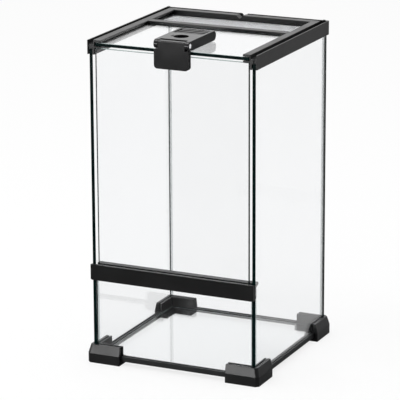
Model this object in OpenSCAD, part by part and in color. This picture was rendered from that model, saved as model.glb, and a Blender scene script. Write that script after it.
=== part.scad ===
// Glass reptile terrarium: four panes on a clear base, a front door pane standing in a sill bar,
// a sliding top pane with a latch, and a wire-mesh vent strip behind it.
// Origin on the ground under the middle of the tank, +X right, +Y back, +Z up. Millimetres.

/* [Tank] */
// Width over the outer faces of the side panes
tank_w = 202; // [160:1:400]
// Depth over the outer faces of the panes
tank_d = 202; // [190:1:400]
// Height of the ledges of the top rails above the ground
total_h = 377.5; // [300:0.5:600]
// Thickness of every glass pane
glass_t = 4; // [3:0.5:5]

/* [Corner feet] */
// Length of each arm of a foot, from the outer corner
foot_arm = 41; // [30:1:60]
// How far a foot stands out past the glass
foot_out = 6; // [4:0.5:10]
// Height of the foot walls
foot_h = 21.3; // [17:0.1:40]
// Height of the upright lower part of the outer wall
foot_upright_h = 11.3; // [7:0.1:14]
// Thickness of the outer wall at its top edge
foot_rim_t = 3.5; // [1:0.1:4]
// Thickness of the wall inside the glass, on feet and strips alike
inner_wall_t = 2.2; // [1.5:0.1:3]
// Width of the foot's ledge under the base pane
foot_ledge = 7; // [4:0.5:12]
// How far the flat at the foot's outer corner cuts back along each side
foot_corner_cut = 3; // [1:0.5:6]
// Height at which the glass stands above the ground
glass_z = 6; // [5:0.5:9]

/* [Base strips] */
// Height of a base strip
strip_h = 6; // [4:0.5:9]
// Thickness of the strip's outer wall
strip_wall_t = 1.4; // [1:0.1:2.5]
// Thickness of the strip's floor
strip_floor_t = 1.2; // [0.8:0.1:2.4]
// Width of the strip's ledge under the base pane
strip_ledge = 4; // [3:0.5:8]

/* [Sill bar] */
// Height of the bar's underside above the ground
sill_z = 99.5; // [60:0.5:150]
// Height of the bar
sill_h = 18.5; // [14:0.5:26]
// How far the bar stands out past the glass
sill_out = 6; // [4.5:0.5:9]
// Depth of the door groove in the bar's top
sill_groove_d = 4.8; // [3:0.1:6]
// Play in front of the door in its groove
sill_front_play = 0.9; // [0.8:0.1:1.4]
// Play behind the door in its groove
sill_back_play = 0.8; // [0.4:0.1:1.4]
// Depth of the shelf behind the door
sill_shelf = 8.4; // [5:0.2:12]
// Thickness of the shelf's rear edge
sill_shelf_t = 3; // [2:0.2:4]
// Thickness of the bar's flange behind the lower pane
sill_flange_t = 2.2; // [1.5:0.1:3]
// Thickness of the web between the groove and the lower pane
sill_web_t = 3.2; // [2:0.2:5]
// Thickness of each end cap
sill_cap_t = 1.6; // [1:0.1:3]
// Radius of the caps' bottom corners
sill_cap_r = 2; // [1:0.5:4]

/* [Top rails] */
// Height of the rails' outer skirt, below the ledge
rail_h = 16.7; // [15:0.1:28]
// How far the rails stand out past the glass
rail_out = 2; // [1.5:0.1:3]
// Thickness of the rails' outer lip
rail_lip_t = 1.3; // [0.8:0.1:1.6]
// How far the lip's top lies below the ledge
rail_lip_drop = 0.5; // [0.2:0.1:1.5]
// Width of the groove between lip and ledge
rail_groove_w = 6.2; // [4:0.1:6.5]
// Depth of that groove
rail_groove_d = 5; // [2:0.1:6]
// Thickness of the ledge over the lid's channel
rail_ledge_t = 2.6; // [2:0.1:4]
// How deep the lid's channel reaches into a rail
channel_d = 7.8; // [5:0.2:9]
// Thickness of the flange that the lid runs on
channel_floor_t = 1.6; // [1.4:0.1:3.5]
// Thickness of the rails' inner leg, beside the glass
rail_leg_t = 2.8; // [2:0.1:3.2]
// Radius along the ledge's inner edge
ledge_r = 0.8; // [0.4:0.2:2]
// How far the rails stand forward of the side panes
rail_front = 1.5; // [0.5:0.1:4]
// Width of the recess down the front end of a side rail
end_recess_w = 3.2; // [2:0.1:4]
// Distance of that recess from the rail's outer face
end_recess_in = 1; // [0.8:0.1:2]
// Depth of that recess
end_recess_d = 1.4; // [0.5:0.1:3]
// Diameter of the round boss where the rail grooves cross at a rear corner
corner_boss_d = 3.4; // [2:0.1:3.4]
// How far the corner boss stands above the ledge
corner_boss_rise = 0.8; // [0.4:0.1:2]

/* [Cable notch] */
// Width of the notch in the back rail at the top
notch_top_w = 8.2; // [4:0.2:16]
// Width of the notch's floor
notch_floor_w = 2.2; // [1:0.2:4]
// Depth of the notch below the ledge
notch_d = 3.4; // [2:0.2:5]
// Distance of the notch from the middle, to the left
notch_x = 2; // [-40:1:40]

/* [Lid and vent] */
// Length of lid that shows, from the tank's front to the crossbar
lid_show = 118; // [90:1:124]
// How far the lid reaches under the crossbar's lip
lid_under = 4; // [2:0.5:6]
// How far the lid's front edge stands in front of the tank
lid_out = 1; // [0:0.1:1.4]
// Depth of the crossbar, front to back
crossbar_d = 10; // [8:0.5:16]
// How far the mesh reaches under the crossbar
mesh_under = 2; // [1:0.5:3]
// Thickness of the mesh sheet
mesh_t = 0.8; // [0.5:0.1:1.2]
// Number of gaps across the mesh
mesh_nx = 24; // [10:1:25]
// Number of gaps along the mesh
mesh_ny = 12; // [6:1:12]
// Width of the strands between the gaps
mesh_strand = 1.6; // [1:0.1:2]
// How far the lid slides out
lid_travel = 90; // [40:1:95]

/* [Door] */
// Width of the open slit at each side of the door pane
door_side_gap = 3.8; // [3.6:0.1:6]
// How far the door's face stands in front of the side panes
door_out = 1.2; // [0.5:0.1:1.4]
// Length of the stops behind the door's top corners, front to back
door_stop_l = 6; // [3:0.5:12]
// How far those stops reach down behind the door
door_stop_h = 1.2; // [0.8:0.1:3]

/* [Latch] */
// Width of the latch
latch_w = 42; // [36:1:60]
// Length of the latch body behind the lid's front edge
latch_len = 65; // [58:1:75]
// Height of the latch body
latch_h = 10.9; // [10.1:0.1:14]
// Distance of the latch from the middle, to the right
latch_x = 3.5; // [-20:0.5:20]
// Thickness of the adhesive pad under the latch
pad_t = 0.8; // [0.4:0.1:1.5]
// Width of each hinge ear
ear_w = 4.5; // [3.5:0.5:7]
// Outer radius of the hinge ears
ear_r = 5; // [4.2:0.1:5]
// Radius of the flap's knuckle
knuckle_r = 4.4; // [3.6:0.1:4.6]
// Radius of the flap's upper front edge
flap_edge_r = 1.2; // [0.6:0.1:1.8]
// Diameter of the hinge pin
pin_d = 5.2; // [3:0.1:5.6]
// Distance of the pin in front of the lid's edge
pin_out = 2.8; // [2.4:0.1:4]
// Length of the flap below its pin
flap_len = 27.4; // [20:0.2:32]
// Thickness of the flap's plate
flap_t = 6; // [4:0.2:6.4]
// Gap between the hinge ears and the flap's shoulders
shoulder_gap = 0.5; // [0.3:0.1:1]
// Radius of the flap's bottom corners
flap_corner_r = 4; // [2:0.5:8]
// Thickness of the latch body's side and rear walls
latch_wall = 2.6; // [1.8:0.1:4]
// Distance from the body's rear end to the front of its finger pocket
pocket_len = 29; // [20:1:32]
// Depth of the finger pocket
pocket_d = 5.4; // [4:0.2:7]
// Number of grip ribs in the pocket
rib_n = 3; // [2:1:4]
// Height of the grip ribs
rib_h = 4.6; // [1:0.2:4.8]
// Diameter of the round well in the latch body's top
well_d = 17.4; // [12:0.2:19]
// Depth of the round well
well_depth = 4; // [2:0.2:6]
// Width of the rim round the well and between the well and its slot
well_rim = 1.2; // [0.8:0.1:2]
// Length of the slot beside the well
well_slot_len = 7; // [4:0.5:9]
// Width of that slot
well_slot_w = 1.8; // [1:0.1:3]
// Depth of that slot
well_slot_d = 1.6; // [0.8:0.1:2.4]

/* [Fits] */
// Play of a pane in its slot
slot_play = 0.15; // [0.05:0.05:0.3]
// Play above the lid in its channel
lid_play_z = 0.4; // [0.3:0.05:0.6]
// Play between things that move and their seats
run_gap = 0.3; // [0.2:0.05:0.5]
// Play at each side edge of the lid and the mesh
side_play = 0.5; // [0.3:0.1:0.8]
// Play of the base pane and of the crossbar between what holds them
seat_play = 0.1; // [0.05:0.05:0.3]
// Gap between the silicone beads and the parts above and below them
seam_gap = 0.2; // [0.1:0.1:0.5]
// Radial play of the flap on its pin
pin_play = 0.08; // [0.02:0.01:0.1]
// Radial play of the pin in the ears
pin_seat_play = 0.05; // [0.01:0.01:0.1]

/* [Hidden] */
$fn = 64;
hw = tank_w / 2;
hd = tank_d / 2;
cut = 1;                                   // how far a cutting tool runs past a face
pane_drop = 1.3;                           // from the rails' flanges down to the tops of the panes
foot_x = hw + foot_out;                    // outer faces of the feet
foot_y = hd + foot_out;
slot_in = glass_t + slot_play;             // from the glass's outer face to the inner wall
wall_in = slot_in + inner_wall_t;          // from the glass's outer face to the base pane's edge
strip_z = glass_z - strip_floor_t;

lid_floor_z = total_h - rail_ledge_t - lid_play_z - glass_t - run_gap;  // top of the channel's floor
lid_z = lid_floor_z + run_gap;             // underside of the lid
lid_top_z = lid_z + glass_t;
skirt_z = total_h - rail_h;                // lower edge of the rails
channel_x = hw - glass_t - rail_leg_t - slot_play;  // closed side of the channel
rail_in = channel_x - channel_d;           // inner edge of the ledges, from the middle
rail_depth = hw + rail_out - rail_in;      // width of the rail section
flange_z = lid_floor_z - channel_floor_t;  // underside of the flange that the lid runs on
pane_top_z = flange_z - pane_drop;         // where the rails sit on the panes
rail_in_y = hd + rail_out - rail_depth;    // inner edge of the back rail's ledge
channel_y = rail_in_y + channel_d;         // closed side of the back rail's channel

sill_top_z = sill_z + sill_h;
groove_z = sill_top_z - sill_groove_d;
door_front_y = -hd - door_out;
door_back_y = door_front_y + glass_t;
groove_front_y = door_front_y - sill_front_play;
groove_back_y = door_back_y + sill_back_play;
shelf_y = groove_back_y + sill_shelf;
door_z = groove_z + run_gap;
door_top_z = flange_z - run_gap;
door_hw = hw - glass_t - door_side_gap;
sill_slot_z = groove_z - sill_web_t;       // top of the lower front pane

lid_front_y = -hd - lid_out;
crossbar_y = -hd + lid_show;
lid_back_y = crossbar_y + lid_under;
lid_hw = channel_x - side_play;
mesh_slot_h = mesh_t + run_gap;
mesh_front_y = crossbar_y + crossbar_d - mesh_under;
mesh_back_y = channel_y - side_play;

latch_z = lid_top_z + pad_t;
latch_top_z = latch_z + latch_h;
latch_back_y = lid_front_y + latch_len;
pin_y = lid_front_y - pin_out;
pin_z = latch_top_z - ear_r;
knuckle_hw = latch_w / 2 - ear_w - run_gap;
latch_front_y = pin_y + knuckle_r + run_gap;
edge_reach = (knuckle_r - flap_edge_r) * sqrt(2) + flap_edge_r;  // from the pin to the flap's upper edge
hollow_r = edge_reach + run_gap;            // hollow in the body that this edge turns in
flap_front_y = pin_y - knuckle_r;
shoulder_z = pin_z - ear_r - shoulder_gap;
pocket_y = latch_back_y - pocket_len;
pocket_z = latch_top_z - pocket_d;
pin_proud = 0.2;                           // how far each end of the pin shows past its ear
well_y = (latch_front_y + pocket_y) / 2;   // middle of the round well

rib_base = 4.2;                            // width of a grip rib at its foot
rib_slope = 0.6;                           // how far each side of a rib leans in
seam = 2.5;                                // leg of the three-sided silicone beads

plastic = [0.09, 0.09, 0.10];
glass = [0.82, 0.90, 0.90, 0.35];
edge_strip = [0.16, 0.18, 0.18];
silicone = [0.75, 0.78, 0.78];
steel = [0.75, 0.76, 0.78];

// A box from its lowest to its highest corner
module block(lo, hi) {
    translate(lo)
        cube([hi[0] - lo[0], hi[1] - lo[1], hi[2] - lo[2]]);
}

// A section drawn in Y and Z, run along X
module along_x(x0, x1) {
    translate([x0, 0, 0])
        rotate([90, 0, 90])
            linear_extrude(x1 - x0)
                children();
}

// A section drawn in X and Z, run along Y
module along_y(y0, y1) {
    translate([0, y1, 0])
        rotate([90, 0, 0])
            linear_extrude(y1 - y0)
                children();
}

// Left-hand twin of a right-hand piece
module to_left() {
    mirror([1, 0, 0])
        children();
}

// Front twin of a rear piece
module to_front() {
    mirror([0, 1, 0])
        children();
}

// ---- corner feet ----

// Outline of a foot from start out to its outer face, which leans in by lean towards the top
module foot_outline(start, outer, lean) {
    polygon([
        [start, 0], [outer, 0], [outer, foot_upright_h], [outer - lean, foot_h], [start, foot_h]
    ]);
}

// The foot at the back right: an L with slots for both panes and a ledge for the base pane
module foot() {
    x0 = foot_x - foot_arm;
    y0 = foot_y - foot_arm;
    color(plastic)
        difference() {
            intersection() {
                along_y(y0, foot_y)
                    foot_outline(x0, foot_x, foot_out - foot_rim_t);
                along_x(x0, foot_x)
                    foot_outline(y0, foot_y, foot_out - foot_rim_t);
                foot_corner();
            }
            block([x0 - cut, y0 - cut, -cut],
                  [hw - wall_in - foot_ledge, hd - wall_in - foot_ledge, foot_h + cut]);
            block([x0 - cut, y0 - cut, glass_z],
                  [hw - wall_in, hd - wall_in, foot_h + cut]);
            block([hw - slot_in, y0 - cut, glass_z], [hw, hd, foot_h + cut]);
            block([x0 - cut, hd - slot_in, glass_z], [hw, hd, foot_h + cut]);
        }
}

// Everything inside the flat across the foot's outer corner, which leans in with the two sides
module foot_corner() {
    reach = foot_arm * sqrt(2);
    translate([foot_x, foot_y, 0])
        rotate([0, 0, 45])
            along_y(-reach, reach)
                foot_outline(-reach, -foot_corner_cut / sqrt(2), (foot_out - foot_rim_t) * sqrt(2));
}

// ---- base strips ----

// Section of a strip on the side at half width h, in distance from the middle and height
module strip_section(h) {
    difference() {
        polygon([
            [h - wall_in - strip_ledge, strip_z], [h + strip_wall_t, strip_z],
            [h + strip_wall_t, strip_z + strip_h], [h - wall_in, strip_z + strip_h],
            [h - wall_in, glass_z], [h - wall_in - strip_ledge, glass_z]
        ]);
        translate([h - slot_in, glass_z])
            square([slot_in, strip_h]);
    }
}

module side_strip() {
    color(edge_strip)
        along_y(-(foot_y - foot_arm), foot_y - foot_arm)
            strip_section(hw);
}

module rear_strip() {
    color(edge_strip)
        along_x(-(foot_x - foot_arm), foot_x - foot_arm)
            strip_section(hd);
}

// ---- glass and seams ----

module base_pane() {
    bx = hw - wall_in - seat_play;
    by = hd - wall_in - seat_play;
    color(glass)
        block([-bx, -by, glass_z], [bx, by, glass_z + glass_t]);
}

module side_pane() {
    color(glass)
        block([hw - glass_t, -hd, glass_z], [hw, hd - glass_t, pane_top_z]);
}

module back_pane() {
    color(glass)
        block([-hw, hd - glass_t, glass_z], [hw, hd, pane_top_z]);
}

module lower_front_pane() {
    color(glass)
        block([-hw + glass_t, -hd, glass_z], [hw - glass_t, -hd + glass_t, sill_slot_z]);
}

// Silicone bead up the inside corner at the back right
module corner_seam(z1) {
    x = hw - glass_t;
    y = hd - glass_t;
    color(silicone)
        translate([0, 0, foot_h + seam_gap])
            linear_extrude(z1 - seam_gap - foot_h - seam_gap)
                polygon([[x, y], [x - seam, y], [x, y - seam]]);
}

// ---- sill bar and door ----

// Front flange of the bar, which also covers the front edges of the side panes
module sill_front_section() {
    polygon([
        [-hd - sill_out, sill_z], [-hd, sill_z], [-hd, groove_z],
        [groove_front_y, groove_z], [groove_front_y, sill_top_z], [-hd - sill_out, sill_top_z]
    ]);
}

// Rear half of the bar, between the side panes: web, flange and shelf
module sill_rear_section() {
    flange_y = -hd + slot_in;
    polygon([
        [-hd, sill_slot_z], [flange_y, sill_slot_z], [flange_y, sill_z],
        [flange_y + sill_flange_t, sill_z],
        [flange_y + sill_flange_t, sill_top_z - sill_shelf_t - sill_flange_t],
        [shelf_y, sill_top_z - sill_shelf_t], [shelf_y, sill_top_z],
        [groove_back_y, sill_top_z], [groove_back_y, groove_z], [-hd, groove_z]
    ]);
}

module sill_bar() {
    rear_hw = hw - glass_t - slot_play;
    color(plastic)
        union() {
            along_x(-hw + sill_cap_t, hw - sill_cap_t)
                sill_front_section();
            along_x(-rear_hw, rear_hw)
                sill_rear_section();
        }
}

// End cap at the right: closes the front flange, its lower front corner rounded
module sill_cap() {
    r = sill_cap_r;
    y0 = -hd - sill_out;
    color(plastic)
        along_x(hw - sill_cap_t, hw)
            difference() {
                sill_front_section();
                translate([y0, sill_z])
                    difference() {
                        translate([-cut, -cut])
                            square(r + cut);
                        translate([r, r])
                            circle(r);
                    }
            }
}

module door_pane() {
    color(glass)
        block([-door_hw, door_front_y, door_z], [door_hw, door_back_y, door_top_z]);
}

// ---- top rails ----

// Rail section on the side whose glass ends at h, with a channel from the flange up to channel_top
module rail_section(h, channel_top) {
    outer = h + rail_out;
    inner = outer - rail_depth;
    leg_in = h - glass_t - slot_play - rail_leg_t;
    groove_x = outer - rail_lip_t - rail_groove_w;
    round_in = ledge_r * (1 - sqrt(0.5));
    difference() {
        polygon([
            [leg_in, skirt_z], [outer, skirt_z],
            [outer, total_h - rail_lip_drop], [outer - rail_lip_t, total_h - rail_lip_drop],
            [outer - rail_lip_t, total_h - rail_groove_d], [groove_x, total_h - rail_groove_d],
            [groove_x, total_h], [inner + ledge_r, total_h],
            [inner + round_in, total_h - round_in], [inner, total_h - ledge_r],
            [inner, channel_top], [leg_in, channel_top],
            [leg_in, lid_floor_z], [inner, lid_floor_z],
            [inner, flange_z], [leg_in, flange_z]
        ]);
        translate([h - slot_in, skirt_z - cut])
            square([slot_in, pane_top_z - skirt_z + cut]);
    }
}

// Right rail: mitred at the back, with a recess down its front end and a stop behind the door
module side_rail() {
    outer = hw + rail_out;
    y0 = -hd - rail_front;
    stop_y = door_back_y + run_gap;
    recess_x = outer - end_recess_in;
    color(plastic)
        difference() {
            union() {
                intersection() {
                    along_y(y0, hd + rail_out)
                        rail_section(hw, total_h - rail_ledge_t);
                    linear_extrude(total_h + cut)
                        polygon([
                            [rail_in, y0], [outer, y0], [outer, hd + rail_out], [rail_in, rail_in_y]
                        ]);
                }
                block([rail_in, stop_y, door_top_z - door_stop_h],
                      [channel_x + cut, stop_y + door_stop_l, lid_floor_z]);
            }
            block([recess_x - end_recess_w, y0 - cut, skirt_z - cut],
                  [recess_x, y0 + end_recess_d, total_h + cut]);
        }
}

// Back rail, mitred at both ends, with a slot for the mesh, a cable notch and a boss at each corner
module back_rail() {
    outer = hd + rail_out;
    color(plastic)
        union() {
            difference() {
                intersection() {
                    union() {
                        along_x(-hw - rail_out, hw + rail_out)
                            rail_section(hd, lid_floor_z + mesh_slot_h);
                        corner_bosses(total_h - rail_groove_d - cut);
                    }
                    linear_extrude(total_h + corner_boss_rise + cut)
                        polygon([
                            [-hw - rail_out, outer], [hw + rail_out, outer],
                            [rail_in, rail_in_y], [-rail_in, rail_in_y]
                        ]);
                }
                cable_notch(rail_in_y - cut, outer + cut);
            }
            corner_bosses(total_h - rail_groove_d);
        }
}

// Round bosses where the grooves cross at the rear corners, from height z0 to just above the ledges
module corner_bosses(z0) {
    inset = rail_lip_t + rail_groove_w / 2 - rail_out;
    for (side = [-1, 1])
        translate([side * (hw - inset), hd - inset, z0])
            cylinder(d = corner_boss_d, h = total_h + corner_boss_rise - z0);
}

// Notch across the back rail, its sides sloping in to a narrow floor
module cable_notch(y0, y1) {
    slope = (notch_top_w - notch_floor_w) / 2 / notch_d;
    top = notch_top_w / 2 + slope * cut;
    z0 = total_h - notch_d;
    translate([-notch_x, 0, 0])
        along_y(y0, y1)
            polygon([
                [-notch_floor_w / 2, z0], [notch_floor_w / 2, z0],
                [top, total_h + cut], [-top, total_h + cut]
            ]);
}

// ---- crossbar, vent and lid ----

// Section of the crossbar in Y and Z: a lip over the lid's rear edge, a slot for the mesh
module crossbar_section() {
    y1 = crossbar_y + crossbar_d;
    body_y = lid_back_y + run_gap;
    difference() {
        polygon([
            [crossbar_y, total_h], [crossbar_y, total_h - rail_ledge_t],
            [body_y, total_h - rail_ledge_t], [body_y, flange_z], [y1, flange_z], [y1, total_h]
        ]);
        translate([mesh_front_y - run_gap, lid_floor_z])
            square([crossbar_d, mesh_slot_h]);
    }
}

// The bar rests on the channel floors with a tongue at each end
module crossbar() {
    end_x = rail_in - seat_play;
    tongue_x = channel_x - side_play;
    color(plastic)
        union() {
            along_x(-end_x, end_x)
                crossbar_section();
            for (side = [-1, 1])
                block([min(side * end_x, side * tongue_x), lid_back_y + run_gap, lid_floor_z],
                      [max(side * end_x, side * tongue_x), mesh_front_y - run_gap,
                       total_h - rail_ledge_t - seat_play]);
        }
}

module vent_mesh() {
    size_x = 2 * lid_hw;
    size_y = mesh_back_y - mesh_front_y;
    step_x = (size_x - mesh_strand) / mesh_nx;
    step_y = (size_y - mesh_strand) / mesh_ny;
    color(steel)
        translate([-lid_hw, mesh_front_y, lid_floor_z])
            linear_extrude(mesh_t)
                difference() {
                    square([size_x, size_y]);
                    for (i = [0:mesh_nx - 1], j = [0:mesh_ny - 1])
                        translate([mesh_strand + i * step_x, mesh_strand + j * step_y])
                            square([step_x - mesh_strand, step_y - mesh_strand]);
                }
}

module lid_pane() {
    color(glass)
        block([-lid_hw, lid_front_y, lid_z], [lid_hw, lid_back_y, lid_top_z]);
}

// ---- latch ----

module latch_pad() {
    half = latch_w / 2 - latch_wall;
    color(silicone)
        block([latch_x - half, latch_front_y + latch_wall, lid_top_z],
              [latch_x + half, latch_back_y - latch_wall, latch_z]);
}

// Body with two hinge ears in front and a hollow between them for the flap's upper edge,
// a round well on top and a ribbed finger pocket behind
module latch_base() {
    half = latch_w / 2;
    rear_r = latch_h / 2;
    in_hw = half - latch_wall;
    hollow_hw = half - ear_w;
    color(plastic)
        translate([latch_x, 0, 0])
            difference() {
                union() {
                    difference() {
                        union() {
                            block([-half, latch_front_y, latch_z],
                                  [half, latch_back_y - rear_r, latch_top_z]);
                            translate([-half, latch_back_y - rear_r, latch_z + rear_r])
                                rotate([0, 90, 0])
                                    cylinder(r = rear_r, h = latch_w);
                        }
                        block([-in_hw, pocket_y, pocket_z],
                              [in_hw, latch_back_y - latch_wall, latch_top_z + cut]);
                        translate([-hollow_hw, pin_y, pin_z])
                            rotate([0, 90, 0])
                                cylinder(r = hollow_r, h = 2 * hollow_hw);
                    }
                    for (side = [-1, 1])
                        latch_ear(side);
                    for (i = [0:rib_n - 1])
                        grip_rib(i, in_hw);
                }
                latch_well();
                translate([-half - cut, pin_y, pin_z])
                    rotate([0, 90, 0])
                        cylinder(d = pin_d + 2 * pin_seat_play, h = latch_w + 2 * cut);
            }
}

// Round well in the body's top, with a short slot at its left
module latch_well() {
    r = well_d / 2;
    slot_x = -r - well_rim - well_slot_w;
    translate([0, well_y, latch_top_z - well_depth])
        cylinder(r = r, h = well_depth + cut);
    block([slot_x, well_y - well_slot_len / 2, latch_top_z - well_slot_d],
          [slot_x + well_slot_w, well_y + well_slot_len / 2, latch_top_z + cut]);
}

// One hinge ear: a disc round the pin, joined to the body behind it
module latch_ear(side) {
    x0 = side > 0 ? latch_w / 2 - ear_w : -latch_w / 2;
    translate([x0, pin_y, pin_z])
        rotate([0, 90, 0])
            cylinder(r = ear_r, h = ear_w);
    block([x0, pin_y, pin_z - ear_r], [x0 + ear_w, latch_front_y + cut, latch_top_z]);
}

// One rib across the floor of the finger pocket
module grip_rib(i, half) {
    room = pocket_len - latch_wall - rib_base;
    y = pocket_y + rib_base + i * room / rib_n;
    along_x(-half, half)
        polygon([
            [y, pocket_z - cut], [y + rib_base, pocket_z - cut],
            [y + rib_base - rib_slope, pocket_z + rib_h], [y + rib_slope, pocket_z + rib_h]
        ]);
}

module latch_pin() {
    color(steel)
        translate([latch_x - latch_w / 2 - pin_proud, pin_y, pin_z])
            rotate([0, 90, 0])
                cylinder(d = pin_d, h = latch_w + 2 * pin_proud);
}

// Flap: knuckle between the ears, plate as wide as the latch below them
module latch_flap() {
    half = latch_w / 2;
    z0 = pin_z - flap_len;
    r = flap_corner_r;
    back_y = flap_front_y + flap_t;
    color(plastic)
        translate([latch_x, 0, 0])
            difference() {
                union() {
                    translate([0, pin_y, pin_z])
                        along_x(-knuckle_hw, knuckle_hw)
                            knuckle_outline();
                    along_y(flap_front_y, back_y)
                        flap_outline(half, z0, r);
                }
                translate([-half, pin_y, pin_z])
                    rotate([0, 90, 0])
                        cylinder(d = pin_d + 2 * pin_play, h = latch_w);
            }
}

// Side outline of the flap's neck and knuckle: round behind, squared in front up to a rounded edge
module knuckle_outline() {
    k = knuckle_r;
    e = flap_edge_r;
    union() {
        circle(k);
        translate([-k, shoulder_z - pin_z - cut])
            square([flap_t, pin_z - shoulder_z + cut]);
        translate([-k, -cut])
            square([k, k - e + cut]);
        translate([e - k, -cut])
            square([k - e, k + cut]);
        translate([e - k, k - e])
            circle(e);
    }
}

// Front outline of the flap's wide plate, its two bottom corners rounded
module flap_outline(half, z0, r) {
    union() {
        translate([-half, z0 + r])
            square([2 * half, shoulder_z - z0 - r]);
        translate([-half + r, z0])
            square([2 * half - 2 * r, r + cut]);
        for (side = [-1, 1])
            translate([side * (half - r), z0 + r])
                circle(r);
    }
}

to_front() to_left() foot();  // foot_front_left
to_front() foot();  // foot_front_right
to_left() foot();  // foot_back_left
foot();  // foot_back_right
to_front() rear_strip();  // base_strip_front
rear_strip();  // base_strip_back
to_left() side_strip();  // base_strip_left
side_strip();  // base_strip_right
base_pane();
to_left() side_pane();  // left_pane
side_pane();  // right_pane
back_pane();
lower_front_pane();
to_left() corner_seam(skirt_z);  // seam_back_left
corner_seam(skirt_z);  // seam_back_right
to_front() to_left() corner_seam(sill_z);  // seam_front_left
to_front() corner_seam(sill_z);  // seam_front_right
sill_bar();
to_left() sill_cap();  // sill_cap_left
sill_cap();  // sill_cap_right
door_pane();
to_left() side_rail();  // left_rail
side_rail();  // right_rail
back_rail();
crossbar();
vent_mesh();
lid_pane();
latch_pad();
latch_base();
latch_pin();
latch_flap();
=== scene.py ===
"""Looks of the glass reptile terrarium: panes with dark edges, black plastic trim, steel gauze, camera and light."""

import math

import bmesh
import bpy
from mathutils import Matrix, Vector


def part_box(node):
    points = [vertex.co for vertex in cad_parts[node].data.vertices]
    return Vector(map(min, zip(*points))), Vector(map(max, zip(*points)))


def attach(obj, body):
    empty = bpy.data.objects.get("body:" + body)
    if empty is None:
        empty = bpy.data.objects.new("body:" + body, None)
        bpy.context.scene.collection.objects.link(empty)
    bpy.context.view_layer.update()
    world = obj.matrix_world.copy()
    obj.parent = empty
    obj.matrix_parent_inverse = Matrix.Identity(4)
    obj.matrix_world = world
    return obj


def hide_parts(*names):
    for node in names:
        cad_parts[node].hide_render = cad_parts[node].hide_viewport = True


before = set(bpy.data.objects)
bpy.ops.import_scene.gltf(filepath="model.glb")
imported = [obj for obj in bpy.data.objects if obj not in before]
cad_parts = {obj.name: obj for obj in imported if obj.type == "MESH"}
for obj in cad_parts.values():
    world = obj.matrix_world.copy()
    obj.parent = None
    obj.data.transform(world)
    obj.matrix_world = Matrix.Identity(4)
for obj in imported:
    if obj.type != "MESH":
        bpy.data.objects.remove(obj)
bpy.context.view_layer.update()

PHOTO = 400  # pixels of the photograph, each way
MM = 0.001  # metres
UP = Vector((0, 0, 1))

# ---- camera, fitted to the photograph's edges ----

FOCAL_PX = 2556.9
SENSOR_MM = 36.0
CAM_AT = Vector((1.1858, -2.5692, 0.9710))
CAM_AZIMUTH = math.radians(25.02)
CAM_ELEVATION = math.radians(15.657)
CAM_ROLL = math.radians(-0.259)
CAM_FAR = 100  # how far the camera sees, in metres


def add_camera():
    data = bpy.data.cameras.new("camera")
    data.sensor_width = SENSOR_MM
    data.lens = FOCAL_PX / PHOTO * SENSOR_MM
    data.clip_end = CAM_FAR
    camera = bpy.data.objects.new("camera", data)
    bpy.context.scene.collection.objects.link(camera)
    turn = (
        Matrix.Rotation(CAM_AZIMUTH, 3, "Z")
        @ Matrix.Rotation(math.pi / 2 - CAM_ELEVATION, 3, "X")
        @ Matrix.Rotation(CAM_ROLL, 3, "Z")
    )
    camera.matrix_world = Matrix.Translation(CAM_AT) @ turn.to_4x4()
    bpy.context.scene.camera = camera


add_camera()
bpy.context.scene.view_settings.view_transform = "Standard"

# ---- node helpers ----


class Nodes:
    """A material's or world's node tree, with short calls to add and join nodes."""

    def __init__(self, owner):
        owner.use_nodes = True
        self.tree = owner.node_tree
        self.tree.nodes.clear()

    def add(self, kind, inputs=None, **settings):
        node = self.tree.nodes.new(kind)
        for key, value in settings.items():
            setattr(node, key, value)
        for key, value in (inputs or {}).items():
            self.put(node.inputs[key], value)
        return node

    def put(self, socket, value):
        if isinstance(value, bpy.types.NodeSocket):
            self.tree.links.new(value, socket)
        else:
            socket.default_value = value

    def math(self, operation, a, b=0.0):
        return self.add("ShaderNodeMath", {0: a, 1: b}, operation=operation).outputs[0]

    def ramp(self, value, low, high, to_low=0.0, to_high=1.0):
        inputs = {"Value": value, "From Min": low, "From Max": high, "To Min": to_low, "To Max": to_high}
        return self.add("ShaderNodeMapRange", inputs, interpolation_type="SMOOTHSTEP").outputs["Result"]

    def blend(self, factor, a, b):
        node = self.add("ShaderNodeMix", data_type="RGBA")
        self.put(node.inputs["Factor"], factor)
        self.put(node.inputs[6], a)
        self.put(node.inputs[7], b)
        return node.outputs[2]

    def mix(self, factor, a, b):
        return self.add("ShaderNodeMixShader", {0: factor, 1: a, 2: b}).outputs[0]

    def object_coords(self, output="Object"):
        return self.add("ShaderNodeTexCoord").outputs[output]

    def noise(self, scale, detail=3.0):
        inputs = {"Vector": self.object_coords(), "Scale": scale, "Detail": detail}
        return self.add("ShaderNodeTexNoise", inputs).outputs["Fac"]

    def bump(self, height, distance):
        return self.add("ShaderNodeBump", {"Height": height, "Distance": distance}).outputs["Normal"]

    def facing(self):
        """The x, y and z of the surface's own normal."""
        return self.add("ShaderNodeSeparateXYZ", {0: self.object_coords("Normal")}).outputs

    def paint(self, factor, a, b):
        """A colour between two plain ones, each of red, green and blue."""
        return self.blend(factor, (*a, 1), (*b, 1))

    def finish(self, shader, output="ShaderNodeOutputMaterial"):
        self.add(output, {"Surface": shader})


# ---- materials ----

# The ramps' limits and the colours were set against the photograph.
# Noise scales: about how many spots lie along a metre.
CLOUDS = 35
GRAINS = 1 / (0.35 * MM)
SMUDGES = 14
STREAKS = 220
LUMPS = 120
SCRATCHES = 900
# Heights of the relief
PLASTIC_RELIEF = 0.008 * MM
SILICONE_RELIEF = 0.3 * MM
STEEL_RELIEF = 0.01 * MM

EDGE_WEAR_AND_HIGHLIGHT = 0.6  # how far a sharp edge goes towards its pale colour, partly rubbing wear and partly a painted highlight
SILICONE_BODY = 0.22  # part of the light that silicone's body stops; the rest passes, tinted
SILICONE_SHADE = (0.93, 0.95, 0.95)

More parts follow.
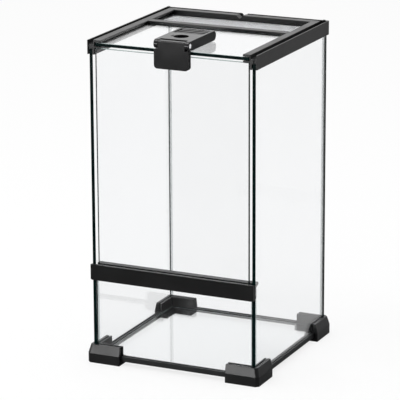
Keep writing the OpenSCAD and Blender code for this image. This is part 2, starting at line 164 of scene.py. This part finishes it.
GLASS_IOR = 1.4
GLASS_TINT = (0.995, 0.997, 0.999)
GLASS_SMUDGE = 0.997  # how much light passes where the glass is least clean
GLASS_SHADE = (0.97, 0.98, 0.98)  # light that passes a pane without being bent
EDGE_DARK = (0.0005, 0.005, 0.005)
EDGE_PALE = (0.001, 0.013, 0.012)
EDGE_ARRIS = (0.001, 0.022, 0.022)
# Painted highlight: the colour of pane edges that face up
EDGE_TOP_HIGHLIGHT = (0.52, 0.60, 0.59)
EDGE_SPECULAR = 0.08
# Ramps over how squarely a point of a pane's surface faces along the thin axis, or upwards for the last, which
# places the painted highlight on up-facing edges
AT_FACE = (0.93, 0.99)
AT_ARRIS = (0.2, 0.5)
AT_TOP_HIGHLIGHT = (0.30, 0.65)


def tinted(colour, factor, add=0.0):
    return [c * factor + add for c in colour]


def plastic(name, colour, roughness, specular=0.5, side_roughness=0.0):
    """Moulded black plastic: fine grain, a little unevenness in gloss, edges paler, partly as rubbing wear and
    partly as a painted highlight.

    side_roughness is the least roughness of faces that look to the left or right.
    """
    material = bpy.data.materials.new(name)
    n = Nodes(material)
    cloud = n.noise(CLOUDS, 4)
    grain = n.noise(GRAINS, 2)
    # Sharp edges go paler: partly rubbing wear, partly a painted highlight along the edges
    edge_wear_and_highlight = n.ramp(n.add("ShaderNodeNewGeometry").outputs["Pointiness"], 0.52, 0.60)
    body = n.paint(n.ramp(cloud, 0.35, 0.75), tinted(colour, 0.85), tinted(colour, 1.15))
    sideways = n.math("ABSOLUTE", n.facing()[0])
    matt = n.ramp(sideways, 0.6, 0.9, 0.0, side_roughness)
    gloss = n.ramp(cloud, 0.3, 0.8, roughness - 0.04, roughness + 0.05)
    shader = n.add("ShaderNodeBsdfPrincipled", {
        "Base Color": n.blend(n.math("MULTIPLY", edge_wear_and_highlight, EDGE_WEAR_AND_HIGHLIGHT), body, (*tinted(colour, 2.2, 0.012), 1)),
        "Roughness": n.math("MAXIMUM", gloss, matt),
        "Specular IOR Level": specular,
        "Normal": n.bump(grain, PLASTIC_RELIEF),
    })
    n.finish(shader.outputs[0])
    return material


def pane_glass(name, thin_axis, arris=EDGE_ARRIS):
    """Float glass for a pane that is thin along one axis.

    Its faces are clear. Its edges are dark green, with a painted highlight where they face up, and of the arris
    colour at their corners.
    """
    material = bpy.data.materials.new(name)
    n = Nodes(material)
    facing = n.facing()
    across = n.math("ABSOLUTE", facing[thin_axis])
    on_face = n.ramp(across, *AT_FACE)
    smudge = n.ramp(n.noise(SMUDGES), 0.3, 0.8)
    face = n.add("ShaderNodeBsdfGlass", {
        "Color": n.paint(smudge, GLASS_TINT, tinted(GLASS_TINT, GLASS_SMUDGE)),
        "Roughness": 0.0,
        "IOR": GLASS_IOR,
    })
    streak = n.noise(STREAKS, 2)
    ground = n.paint(n.ramp(streak, 0.3, 0.7), EDGE_DARK, EDGE_PALE)
    cornered = n.blend(n.ramp(across, *AT_ARRIS), ground, (*arris, 1))
    edge = n.add("ShaderNodeBsdfPrincipled", {
        # Up-facing edges turn pale: a painted highlight
        "Base Color": n.blend(n.ramp(facing[2], *AT_TOP_HIGHLIGHT), cornered, (*EDGE_TOP_HIGHLIGHT, 1)),
        "Roughness": n.ramp(streak, 0.2, 0.8, 0.12, 0.28),
        "Specular IOR Level": EDGE_SPECULAR,
    })
    both = n.mix(on_face, edge.outputs[0], face.outputs[0])
    path = n.add("ShaderNodeLightPath").outputs
    unbent = n.math("MAXIMUM", path["Is Shadow Ray"], path["Is Diffuse Ray"])
    passed = n.add("ShaderNodeBsdfTransparent", {"Color": (*GLASS_SHADE, 1)})
    n.finish(n.mix(n.math("MULTIPLY", unbent, on_face), both, passed.outputs[0]))
    return material


def silicone(name, dull, bright):
    """Silicone bead: soft gloss, slightly lumpy, a little light passing through."""
    material = bpy.data.materials.new(name)
    n = Nodes(material)
    lumps = n.noise(LUMPS, 2)
    body = n.add("ShaderNodeBsdfPrincipled", {
        "Base Color": n.paint(n.ramp(lumps, 0.3, 0.7), dull, bright),
        "Roughness": n.ramp(lumps, 0.2, 0.8, 0.2, 0.4),
        "Normal": n.bump(lumps, SILICONE_RELIEF),
    })
    clear = n.add("ShaderNodeBsdfTransparent", {"Color": (*SILICONE_SHADE, 1)})
    n.finish(n.mix(SILICONE_BODY, clear.outputs[0], body.outputs[0]))
    return material


def steel(name, colour, roughness):
    """Bright steel with fine uneven gloss."""
    material = bpy.data.materials.new(name)
    n = Nodes(material)
    fine = n.noise(SCRATCHES)
    shader = n.add("ShaderNodeBsdfPrincipled", {
        "Base Color": n.paint(n.ramp(fine, 0.3, 0.7), tinted(colour, 0.92), colour),
        "Metallic": 1.0,
        "Roughness": n.ramp(fine, 0.2, 0.8, roughness - 0.08, roughness + 0.08),
        "Normal": n.bump(fine, STEEL_RELIEF),
    })
    n.finish(shader.outputs[0])
    return material


RAIL = plastic("rail_plastic", (0.003, 0.003, 0.0033), 0.34, specular=0.56)
FOOT = plastic("foot_plastic", (0.004, 0.004, 0.0045), 0.32, specular=0.45)
STRIP = plastic("strip_plastic", (0.009, 0.010, 0.0105), 0.40)
SILL = plastic("sill_plastic", (0.0025, 0.0025, 0.0028), 0.32, specular=0.32)
LATCH = plastic("latch_plastic", (0.006, 0.006, 0.0067), 0.18, specular=0.45, side_roughness=0.65)
PAD = plastic("pad_foam", (0.05, 0.05, 0.05), 0.7)
SIDE_GLASS = pane_glass("side_glass", 0)
FRONT_GLASS = pane_glass("front_glass", 1)
FLAT_GLASS = pane_glass("flat_glass", 2)
LID_GLASS = pane_glass("lid_glass", 2, EDGE_DARK)
BEAD = silicone("clear_bead", (0.47, 0.55, 0.55), (0.56, 0.64, 0.64))
# The rear beads are the same clear silicone, painted dark to stand in for the shade they show through the tank
REAR_BEAD_PAINTED_SHADE = silicone("rear_bead_painted_shade", (0.010, 0.016, 0.016), (0.018, 0.026, 0.026))
WIRE = steel("gauze_steel", (0.80, 0.81, 0.82), 0.38)
PIN = steel("pin_steel", (0.85, 0.85, 0.86), 0.22)

LOOKS = {
    "foot_front_left": FOOT, "foot_front_right": FOOT, "foot_back_left": FOOT, "foot_back_right": FOOT,
    "base_strip_front": STRIP, "base_strip_back": STRIP, "base_strip_left": STRIP, "base_strip_right": STRIP,
    "base_pane": FLAT_GLASS, "lid_pane": LID_GLASS, "left_pane": SIDE_GLASS, "right_pane": SIDE_GLASS,
    "back_pane": FRONT_GLASS, "lower_front_pane": FRONT_GLASS, "door_pane": FRONT_GLASS,
    "seam_back_left": REAR_BEAD_PAINTED_SHADE, "seam_back_right": REAR_BEAD_PAINTED_SHADE, "seam_front_left": BEAD, "seam_front_right": BEAD,
    "sill_bar": SILL, "sill_cap_left": SILL, "sill_cap_right": SILL,
    "left_rail": RAIL, "right_rail": RAIL, "back_rail": RAIL, "crossbar": RAIL, "vent_mesh": WIRE,
    "latch_pad": PAD, "latch_base": LATCH, "latch_pin": PIN, "latch_flap": LATCH,
}
# Radius of the edges, in millimetres
ROUNDING_MM = {
    FOOT: 0.6, STRIP: 0.25, SILL: 0.35, RAIL: 0.35, LATCH: 0.5, PIN: 0.3,
    SIDE_GLASS: 0.3, FRONT_GLASS: 0.3, FLAT_GLASS: 0.3, LID_GLASS: 1.1,
}
SHARP_OVER = math.radians(30)  # edges that turn by more than this are rounded
WELD_WITHIN = 0.001 * MM


def round_edges(obj, width_mm):
    """Small rounded edges on a CAD node, as moulding and glass grinding leave them."""
    weld = obj.modifiers.new("weld", "WELD")
    weld.merge_threshold = WELD_WITHIN
    bevel = obj.modifiers.new("rounding", "BEVEL")
    bevel.width = width_mm * MM
    bevel.segments = 2
    bevel.limit_method = "ANGLE"
    bevel.angle_limit = SHARP_OVER
    bevel.use_clamp_overlap = True
    bevel.harden_normals = False
    smooth = obj.modifiers.new("normals", "WEIGHTED_NORMAL")
    smooth.keep_sharp = True


for node, look in LOOKS.items():
    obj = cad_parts[node]
    obj.data.materials.clear()
    obj.data.materials.append(look)
    if look in ROUNDING_MM:
        round_edges(obj, ROUNDING_MM[look])

# ---- wire gauze of the vent ----

GAUZE_PITCH = 1.9 * MM
WIRE_D = 0.46 * MM
WIRE_SIDES = 4
ALONG_X = Vector((1, 0, 0))
ALONG_Y = Vector((0, 1, 0))


def wire(bm, start, along, across, length, count, phase):
    """One wire of the weave: a four-sided tube that rises and falls over the wires it crosses."""
    steps = 2 * count
    last = None
    for i in range(steps + 1):
        wave = math.cos(math.pi * (i / 2 + phase)) * WIRE_D / 2
        middle = start + along * (length * i / steps) + UP * wave
        ring = [
            bm.verts.new(middle + (across * math.cos(a) + UP * math.sin(a)) * WIRE_D / 2)
            for a in (math.tau * (k + 0.5) / WIRE_SIDES for k in range(WIRE_SIDES))
        ]
        if last:
            for k in range(WIRE_SIDES):
                after = (k + 1) % WIRE_SIDES
                bm.faces.new((last[k], last[after], ring[after], ring[k]))
        last = ring


def add_gauze():
    """Woven wire in place of the coarse grid of the frame's vent."""
    low, high = (Vector(c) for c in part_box("vent_mesh"))
    size = high - low
    nx = round(size.x / GAUZE_PITCH)
    ny = round(size.y / GAUZE_PITCH)
    z = (low.z + high.z) / 2
    bm = bmesh.new()
    for i in range(nx):
        x = low.x + (i + 0.5) * size.x / nx
        wire(bm, Vector((x, low.y, z)), ALONG_Y, ALONG_X, size.y, ny, i)
    for j in range(ny):
        y = low.y + (j + 0.5) * size.y / ny
        wire(bm, Vector((low.x, y, z)), ALONG_X, ALONG_Y, size.x, nx, j + 1)
    mesh = bpy.data.meshes.new("gauze")
    bm.to_mesh(mesh)
    bm.free()
    for polygon in mesh.polygons:
        polygon.use_smooth = True
    gauze = bpy.data.objects.new("gauze", mesh)
    bpy.context.scene.collection.objects.link(gauze)
    mesh.materials.append(WIRE)
    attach(gauze, "tank")
    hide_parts("vent_mesh")


add_gauze()

# ---- floor, light and background ----

FLOOR_SIZE = 40  # metres
FLOOR_COLOUR = 0.20
FLOOR_LIFT = 0.775  # added for rays from the camera and through glass, so that the floor shows near white
GLOSSY_PART = 0.15  # part of that lift which plastic and metal reflect from the floor behind the tank
MIRROR_PART = 0.75  # part of it which the panes' outer faces reflect
# Over which way back a reflection comes to count: metres along y on the floor, the y of a direction in the world
BEHIND = (0.0, 0.3)
BESIDE = (-0.08, 0.08)  # the same on the floor for what the panes' outer faces reflect
BACKGROUND = 0.985
WHITE = (1, 1, 1, 1)
# The world's light
LEVEL_FRONT = 0.1
LEVEL_BACK = 1.0
LEVEL_ABOVE = 1.1


def seen_directly(n, way_back):
    """1 for rays that show the floor or the background to the camera, straight or through glass.

    A ray that a pane has reflected on its way counts only behind the tank, where way_back rises over 0.
    """
    path = n.add("ShaderNodeLightPath").outputs
    straight = n.math("LESS_THAN", path["Glossy Depth"], 0.5)
    counted = n.math("MAXIMUM", straight, n.ramp(way_back, *BEHIND))
    through = n.math("MULTIPLY", path["Is Transmission Ray"], counted)
    return n.math("MAXIMUM", path["Is Camera Ray"], through)


def add_floor():
    """Pale floor that keeps the tank's shadow and shows near white to the camera."""
    bpy.ops.mesh.primitive_plane_add(size=FLOOR_SIZE)
    floor = bpy.context.object
    floor.name = "floor"
    material = bpy.data.materials.new("floor")
    n = Nodes(material)
    matt = n.add("ShaderNodeBsdfDiffuse", {"Color": (FLOOR_COLOUR, FLOOR_COLOUR, FLOOR_COLOUR, 1)})
    way_back = n.add("ShaderNodeSeparateXYZ", {0: n.object_coords()}).outputs[1]
    path = n.add("ShaderNodeLightPath").outputs
    satin = n.math("MULTIPLY", n.ramp(way_back, *BEHIND), GLOSSY_PART)
    sharp = n.math("MULTIPLY", path["Is Singular Ray"], n.ramp(way_back, *BESIDE))
    mirror = n.math("MULTIPLY", sharp, MIRROR_PART)
    reflected = n.math("MULTIPLY", path["Is Glossy Ray"], n.math("MAXIMUM", satin, mirror))
    shown = n.math("MAXIMUM", seen_directly(n, way_back), reflected)
    lift = n.add("ShaderNodeEmission", {"Color": WHITE, "Strength": n.math("MULTIPLY", shown, FLOOR_LIFT)})
    n.finish(n.add("ShaderNodeAddShader", {0: matt.outputs[0], 1: lift.outputs[0]}).outputs[0])
    floor.data.materials.append(material)


def add_world():
    """White behind and above, dimmer in front and at the sides, so that the black plastic's front stays dark."""
    world = bpy.data.worlds.new("studio")
    bpy.context.scene.world = world
    n = Nodes(world)
    way = n.add("ShaderNodeSeparateXYZ", {0: n.add("ShaderNodeTexCoord").outputs["Generated"]}).outputs
    level = n.ramp(way[1], -0.6, 0.6, LEVEL_FRONT, LEVEL_BACK)
    level = n.math("MAXIMUM", level, n.ramp(way[2], 0.25, 0.85, 0.0, LEVEL_ABOVE))
    light = n.add("ShaderNodeBackground", {"Color": WHITE, "Strength": level})
    back = n.add("ShaderNodeBackground", {"Color": (BACKGROUND, BACKGROUND, BACKGROUND, 1), "Strength": 1.0})
    n.finish(n.mix(seen_directly(n, way[1]), light.outputs[0], back.outputs[0]), "ShaderNodeOutputWorld")


def add_lamp(name, at, aim, size, power):
    """Rectangular lamp at one point that shines towards another, size in metres and power in watts."""
    data = bpy.data.lights.new(name, "AREA")
    data.shape = "RECTANGLE"
    data.size, data.size_y = size
    data.energy = power
    lamp = bpy.data.objects.new(name, data)
    bpy.context.scene.collection.objects.link(lamp)
    lamp.location = at
    lamp.rotation_euler = (Vector(aim) - Vector(at)).to_track_quat("-Z", "Y").to_euler()


add_floor()
add_world()
add_lamp("softbox_left", (-0.95, -2.05, 0.40), (0, 0, 0.1), (1.1, 0.5), 14)
add_lamp("strip_above", (-0.5, -0.4, 2.2), (0, 0, 0.3), (1.2, 0.2), 13)
